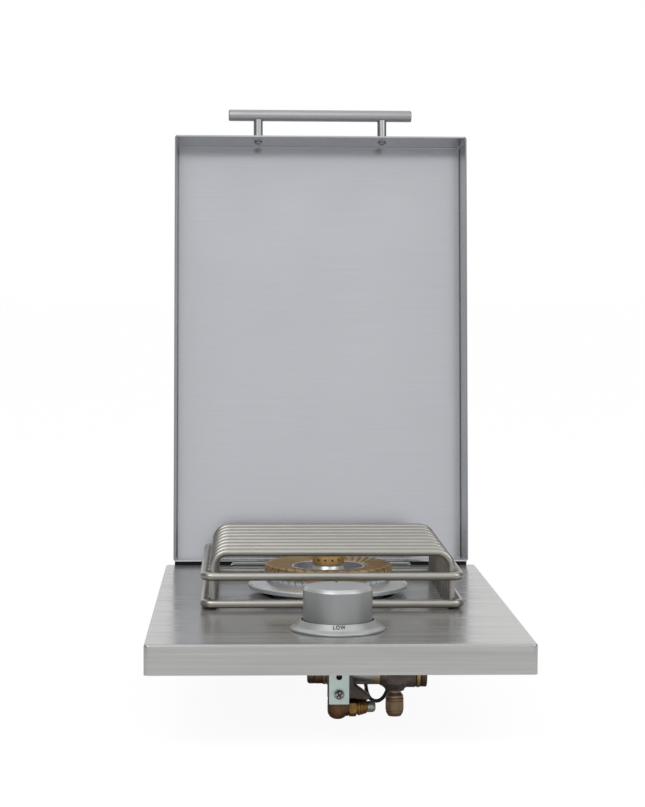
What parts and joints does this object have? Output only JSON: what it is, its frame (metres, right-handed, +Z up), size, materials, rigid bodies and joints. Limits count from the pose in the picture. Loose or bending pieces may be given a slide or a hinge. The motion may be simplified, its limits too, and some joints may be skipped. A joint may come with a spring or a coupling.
{
  "type": "built-in side burner",
  "caption": "Drop-in gas side burner: folded steel deck with hinged lid and bar handle, welded rod grate, ported brass ring burner, front knob and gas fittings below.",
  "frame": {"origin": "middle of the front rest flange's underside, on the plane of the counter that the deck sits on", "axes": "+Z up, the front with the knob faces -Y, +X to the right seen from the front"},
  "size_m": [0.318, 0.5694, 0.5461],
  "materials": {
    "brushed_steel": "stainless sheet brushed along its length",
    "rod_steel": "polished stainless rod",
    "cast_aluminium": "bright satin casting",
    "satin_aluminium": "satin, faintly brushed",
    "ring_brass": "cast and machined brass, slightly dull",
    "cap_brass": "machined brass, warm",
    "aged_brass": "dark, aged brass",
    "zinc_plate": "bright zinc plate with a pale blue-green tint",
    "dark_casting": "dark grey casting",
    "nickel": "bright plated",
    "ceramic": "off-white ceramic",
    "black_plastic": "black moulded plastic and sleeve",
    "black_rubber": "black rubber strip",
    "red_sleeve": "dark red silicone sleeve",
    "marker_ink": "dark filled groove"
  },
  "bodies": {
    "base": {"deck_pan": "brushed_steel", "hinge_leaf_deck": "brushed_steel", "hinge_pin": "nickel", "burner_body": "cast_aluminium", "burner_pan": "brushed_steel", "burner_screw_left": "nickel", "burner_screw_right": "nickel", "mixer_tube_left": "satin_aluminium", "mixer_tube_right": "satin_aluminium", "orifice_left": "ring_brass", "orifice_right": "ring_brass", "knob_bezel": "satin_aluminium", "bezel_screw_left": "nickel", "bezel_screw_right": "nickel", "valve_body": "dark_casting", "valve_bracket": "zinc_plate", "bracket_washer": "nickel", "bracket_screw": "nickel", "gas_pipe": "nickel", "pipe_plug": "aged_brass", "inlet_tee": "dark_casting", "tee_ring": "ring_brass", "tee_plug": "aged_brass", "inlet_nut": "aged_brass", "outlet_elbow": "aged_brass", "outlet_nut": "ring_brass", "outlet_tip": "nickel", "piezo_housing": "black_plastic", "electrode_insulator": "ceramic", "electrode_pin": "nickel", "ignition_lead_red": "red_sleeve", "ignition_lead_black": "black_plastic"},
    "lid": {"lid_shell": "brushed_steel", "hinge_leaf_lid": "brushed_steel", "lid_rest_strip": "black_rubber", "handle_bar": "brushed_steel", "handle_post_left": "brushed_steel", "handle_post_right": "brushed_steel", "handle_screw_left": "nickel", "handle_screw_right": "nickel"},
    "grate": {"grate_bar_1": "rod_steel", "grate_bar_2": "rod_steel", "grate_bar_3": "rod_steel", "grate_bar_4": "rod_steel", "grate_bar_5": "rod_steel", "grate_bar_6": "rod_steel", "grate_bar_7": "rod_steel", "grate_bar_8": "rod_steel", "grate_bar_9": "rod_steel", "grate_ring_upper": "rod_steel", "grate_ring_lower": "rod_steel"},
    "outer_ring": {"burner_ring": "ring_brass"},
    "centre_cap": {"burner_cap": "cap_brass", "burner_cap_disc": "cap_brass"},
    "plug": {"valve_plug": "ring_brass", "valve_spring": "nickel"},
    "knob": {"valve_stem": "nickel", "knob_body": "satin_aluminium", "knob_bush": "nickel", "knob_marker": "marker_ink"}
  },
  "joints": [
    {"name": "lid_hinge", "type": "hinge", "parent": "base", "child": "lid", "pos_m": [0, 0.4543, 0.0271], "axis": [1, 0, 0], "range_deg": [0, 96.4]},
    {"name": "grate_lift", "type": "slide", "parent": "base", "child": "grate", "axis": [0, 0, 1], "range_m": [0, 0.066]},
    {"name": "ring_lift", "type": "slide", "parent": "base", "child": "outer_ring", "axis": [0, 0, 1], "range_m": [0, 0.012]},
    {"name": "cap_lift", "type": "slide", "parent": "base", "child": "centre_cap", "axis": [0, 0, 1], "range_m": [0, 0.006]},
    {"name": "knob_turn", "type": "hinge", "parent": "base", "child": "plug", "pos_m": [0, 0.0657, 0.025], "axis": [0, 0, 1], "range_deg": [0, 180]},
    {"name": "knob_push", "type": "slide", "parent": "plug", "child": "knob", "axis": [0, 0, -1], "range_m": [0, 0.0025], "stiffness_N_per_m": 1200, "springref_m": -0.002, "deforming": ["valve_spring"]}
  ]
}
